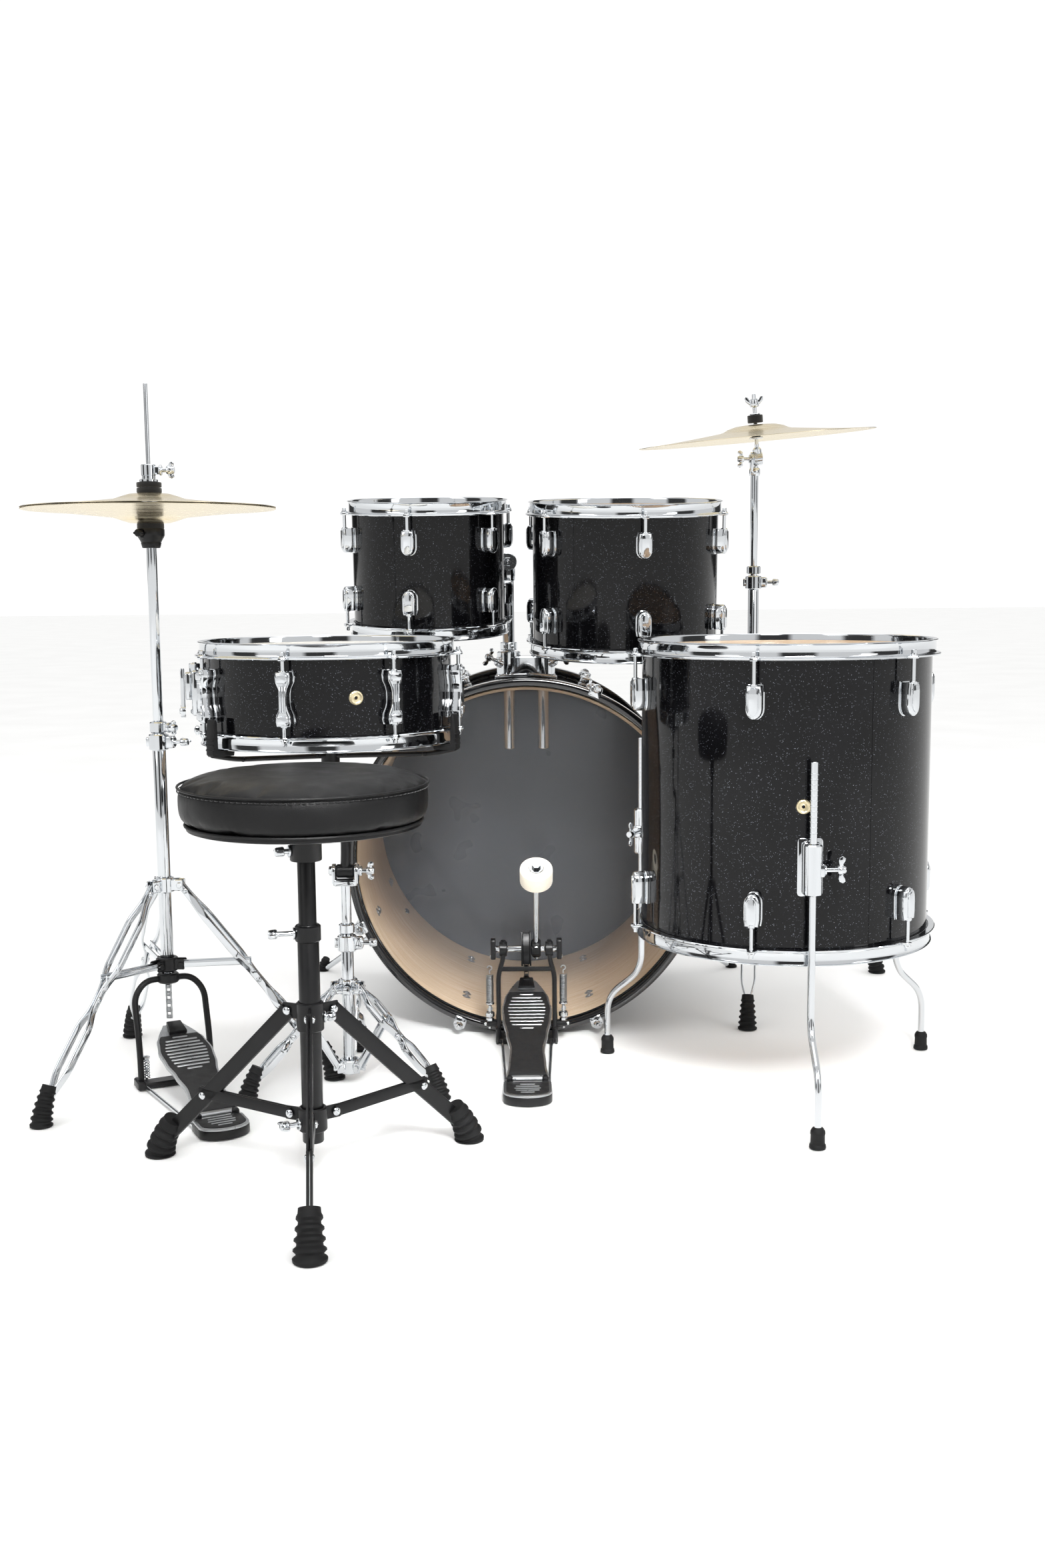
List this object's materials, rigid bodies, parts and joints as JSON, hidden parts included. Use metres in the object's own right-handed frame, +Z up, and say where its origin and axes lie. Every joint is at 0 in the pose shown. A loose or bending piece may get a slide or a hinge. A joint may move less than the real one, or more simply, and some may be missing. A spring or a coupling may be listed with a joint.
{
  "type": "acoustic drum kit",
  "caption": "Acoustic drum kit: bass drum with pedal, rack toms on a double mount, floor tom on rod legs, snare on a basket stand, hi-hat with pedal, crash cymbal and round throne.",
  "frame": {"origin": "on the floor under the middle of the whole kit (bottom centre of the bounding box)", "axes": "+Z up, +Y away from the drummer along the bass drum axis, +X to the right as the drummer sees it"},
  "size_m": [1.3822, 1.3552, 1.0482],
  "materials": {
    "sparkle_wrap": "glossy black laminate with fine silver sparkle",
    "chrome": "bright chrome plate",
    "black_steel": "black powder coat",
    "gloss_black_hoop": "gloss black lacquer on maple hoop",
    "clear_head": "clear polyester film",
    "dark_head": "dark grey polyester film",
    "coated_head": "white coated polyester film",
    "bronze": "pale cymbal bronze, lathed",
    "vinyl": "black vinyl",
    "felt": "off-white pressed felt",
    "rubber": "black moulded rubber",
    "tan_wood": "clear-sealed poplar ply",
    "gold_badge": "polished brass vent grommet",
    "black_pad": "black grip pad on a cast footboard"
  },
  "bodies": {
    "kit_floor": {"bass_shell": "sparkle_wrap", "bass_batter_hoop": "gloss_black_hoop", "bass_front_hoop": "gloss_black_hoop", "bass_batter_head": "clear_head", "bass_front_head": "dark_head", "tom_mount_block": "chrome", "floor_tom_shell": "sparkle_wrap", "floor_tom_top_hoop": "chrome", "floor_tom_bottom_hoop": "chrome", "floor_tom_top_head": "clear_head", "floor_tom_bottom_head": "clear_head", "snare_stand_base": "chrome", "hihat_base": "chrome", "hihat_pedal_frame": "black_steel", "crash_base": "chrome", "throne_tube": "black_steel", "throne_leg_1": "black_steel", "throne_leg_2": "black_steel", "throne_leg_3": "black_steel", "kick_frame": "black_steel"},
    "bass_spur_left": {"bass_spur_left": "chrome"},
    "bass_spur_right": {"bass_spur_right": "chrome"},
    "tom_post_left": {"tom_post_left": "chrome"},
    "tom_post_right": {"tom_post_right": "chrome"},
    "tom_left": {"tom_left_shell": "sparkle_wrap", "tom_left_top_hoop": "chrome", "tom_left_bottom_hoop": "chrome", "tom_left_top_head": "clear_head", "tom_left_bottom_head": "clear_head"},
    "tom_right": {"tom_right_shell": "sparkle_wrap", "tom_right_top_hoop": "chrome", "tom_right_bottom_hoop": "chrome", "tom_right_top_head": "clear_head", "tom_right_bottom_head": "clear_head"},
    "floor_tom_leg_1": {"floor_tom_leg_1": "chrome"},
    "floor_tom_leg_2": {"floor_tom_leg_2": "chrome"},
    "floor_tom_leg_3": {"floor_tom_leg_3": "chrome"},
    "snare_stand_tube": {"snare_stand_tube": "chrome"},
    "snare_drum": {"snare_basket": "black_steel", "snare_shell": "sparkle_wrap", "snare_top_hoop": "chrome", "snare_bottom_hoop": "chrome", "snare_top_head": "coated_head", "snare_bottom_head": "clear_head"},
    "snare_throw_lever": {"snare_throw_lever": "chrome"},
    "hihat_tube": {"hihat_tube": "chrome", "hihat_bottom_cymbal": "bronze"},
    "hihat_rod": {"hihat_pull_rod": "chrome"},
    "hihat_top": {"hihat_clutch": "chrome", "hihat_top_cymbal": "bronze"},
    "hihat_footboard": {"hihat_footboard": "black_pad"},
    "crash_tube": {"crash_tube": "chrome"},
    "crash_tilter": {"crash_tilter": "chrome"},
    "crash_cymbal": {"crash_cymbal": "bronze"},
    "throne_post": {"throne_post": "black_steel"},
    "throne_seat": {"throne_seat": "vinyl"},
    "kick_footboard": {"kick_footboard": "black_pad", "kick_chain": "black_steel"},
    "kick_beater": {"kick_beater": "chrome"}
  },
  "joints": [
    {"name": "bass_spur_left_slide", "type": "slide", "parent": "kit_floor", "child": "bass_spur_left", "axis": [-0.6923, 0.4604, -0.5556], "range_m": [-0.06, 0]},
    {"name": "bass_spur_right_slide", "type": "slide", "parent": "kit_floor", "child": "bass_spur_right", "axis": [0.6923, 0.4604, -0.5556], "range_m": [-0.06, 0]},
    {"name": "tom_left_height", "type": "slide", "parent": "kit_floor", "child": "tom_post_left", "axis": [0, 0, 1], "range_m": [0, 0.03]},
    {"name": "tom_right_height", "type": "slide", "parent": "kit_floor", "child": "tom_post_right", "axis": [0, 0, 1], "range_m": [0, 0.03]},
    {"name": "tom_left_tilt", "type": "hinge", "parent": "tom_post_left", "child": "tom_left", "pos_m": [-0.00753, 0.47136, 0.76496], "axis": [0.8239, 0.5646, 0.0494], "range_deg": [-10, 10]},
    {"name": "tom_right_tilt", "type": "hinge", "parent": "tom_post_right", "child": "tom_right", "pos_m": [0.05247, 0.47136, 0.74899], "axis": [-0.7005, 0.7109, 0.0622], "range_deg": [-10, 10]},
    {"name": "floor_tom_leg_1_slide", "type": "slide", "parent": "kit_floor", "child": "floor_tom_leg_1", "axis": [0, 0, 1], "range_m": [0, 0.1]},
    {"name": "floor_tom_leg_2_slide", "type": "slide", "parent": "kit_floor", "child": "floor_tom_leg_2", "axis": [0, 0, 1], "range_m": [0, 0.1]},
    {"name": "floor_tom_leg_3_slide", "type": "slide", "parent": "kit_floor", "child": "floor_tom_leg_3", "axis": [0, 0, 1], "range_m": [0, 0.1]},
    {"name": "snare_height", "type": "slide", "parent": "kit_floor", "child": "snare_stand_tube", "axis": [0, 0, 1], "range_m": [0, 0.08]},
    {"name": "snare_tilt", "type": "hinge", "parent": "snare_stand_tube", "child": "snare_drum", "pos_m": [-0.24353, -0.04764, 0.316], "axis": [1, 0, 0], "range_deg": [-8, 8]},
    {"name": "snare_throw_lever_turn", "type": "hinge", "parent": "snare_drum", "child": "snare_throw_lever", "pos_m": [-0.46553, -0.05233, 0.5505], "axis": [-0.9799, -0.1994, 0], "range_deg": [0, 75]},
    {"name": "hihat_height", "type": "slide", "parent": "kit_floor", "child": "hihat_tube", "axis": [0, 0, 1], "range_m": [0, 0.08]},
    {"name": "hihat_pedal", "type": "hinge", "parent": "kit_floor", "child": "hihat_footboard", "pos_m": [-0.40512, -0.23336, 0.019], "axis": [0.8926, 0.4509, 0], "range_deg": [0, 6]},
    {"name": "hihat_rod_lift", "type": "slide", "parent": "kit_floor", "child": "hihat_rod", "axis": [0, 0, 1], "range_m": [0, 0.0262]},
    {"name": "hihat_clutch_height", "type": "slide", "parent": "hihat_rod", "child": "hihat_top", "axis": [0, 0, 1], "range_m": [0, 0.08]},
    {"name": "crash_height", "type": "slide", "parent": "kit_floor", "child": "crash_tube", "axis": [0, 0, 1], "range_m": [0, 0.12]},
    {"name": "crash_tilt", "type": "hinge", "parent": "crash_tube", "child": "crash_tilter", "pos_m": [0.42247, 0.47636, 0.938], "axis": [1, 0, 0], "range_deg": [-10, 15]},
    {"name": "crash_spin", "type": "hinge", "parent": "crash_tilter", "child": "crash_cymbal", "pos_m": [0.42479, 0.47457, 0.97224], "axis": [-0.0785, -0.0522, 0.9956], "continuous": true},
    {"name": "throne_height", "type": "slide", "parent": "kit_floor", "child": "throne_post", "axis": [0, 0, 1], "range_m": [-0.03, 0.07]},
    {"name": "throne_seat_spin", "type": "hinge", "parent": "throne_post", "child": "throne_seat", "pos_m": [-0.24603, -0.42914, 0.442], "axis": [0, 0, 1], "continuous": true},
    {"name": "kick_pedal", "type": "hinge", "parent": "kit_floor", "child": "kick_footboard", "pos_m": [0.01817, -0.09664, 0.019], "axis": [1, 0, 0], "range_deg": [-8, 0]},
    {"name": "kick_beater_swing", "type": "hinge", "parent": "kit_floor", "child": "kick_beater", "pos_m": [0.01817, 0.14636, 0.152], "axis": [1, 0, 0], "range_deg": [-46, 0]}
  ],
  "couplings": [
    {"joint": "kick_beater_swing", "follows": "kick_pedal", "ratio": 5.75},
    {"joint": "hihat_rod_lift", "follows": "hihat_pedal", "m_per_rad": 0.22},
    {"joint": "hihat_clutch_height", "follows": "hihat_height", "ratio": 1}
  ]
}
